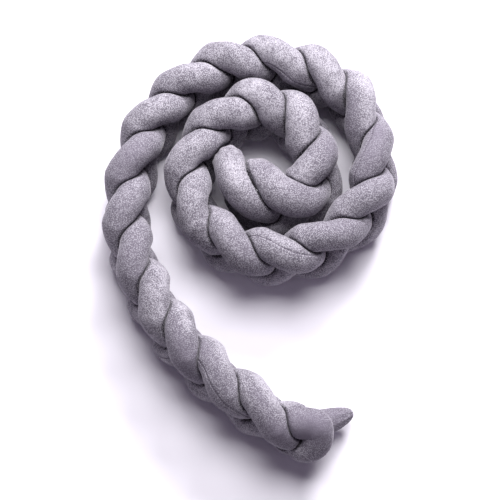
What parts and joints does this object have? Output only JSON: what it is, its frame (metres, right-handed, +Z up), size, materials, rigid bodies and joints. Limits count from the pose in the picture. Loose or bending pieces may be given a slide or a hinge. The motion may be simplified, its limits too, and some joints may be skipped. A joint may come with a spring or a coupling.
{
  "type": "braided crib bumper",
  "caption": "Stuffed plush tubes plaited into a long soft braid that pads the sides of a crib, stood on edge and laid in a loose coil with a free tail.",
  "frame": {"origin": "middle of the footprint's bounding box, on the surface that the braid rests on", "axes": "+Z up from the surface, along the height of the braid's wall; +Y from the tail end towards the far side of the coil, the longest extent; +X across the coil"},
  "size_m": [0.4778, 0.6788, 0.1385],
  "materials": {
    "plush": "short-pile brushed plush, grey with a lilac cast"
  },
  "bodies": {
    "root": {"tube_one": "plush", "tube_two": "plush", "tube_three": "plush"}
  },
  "joints": []
}
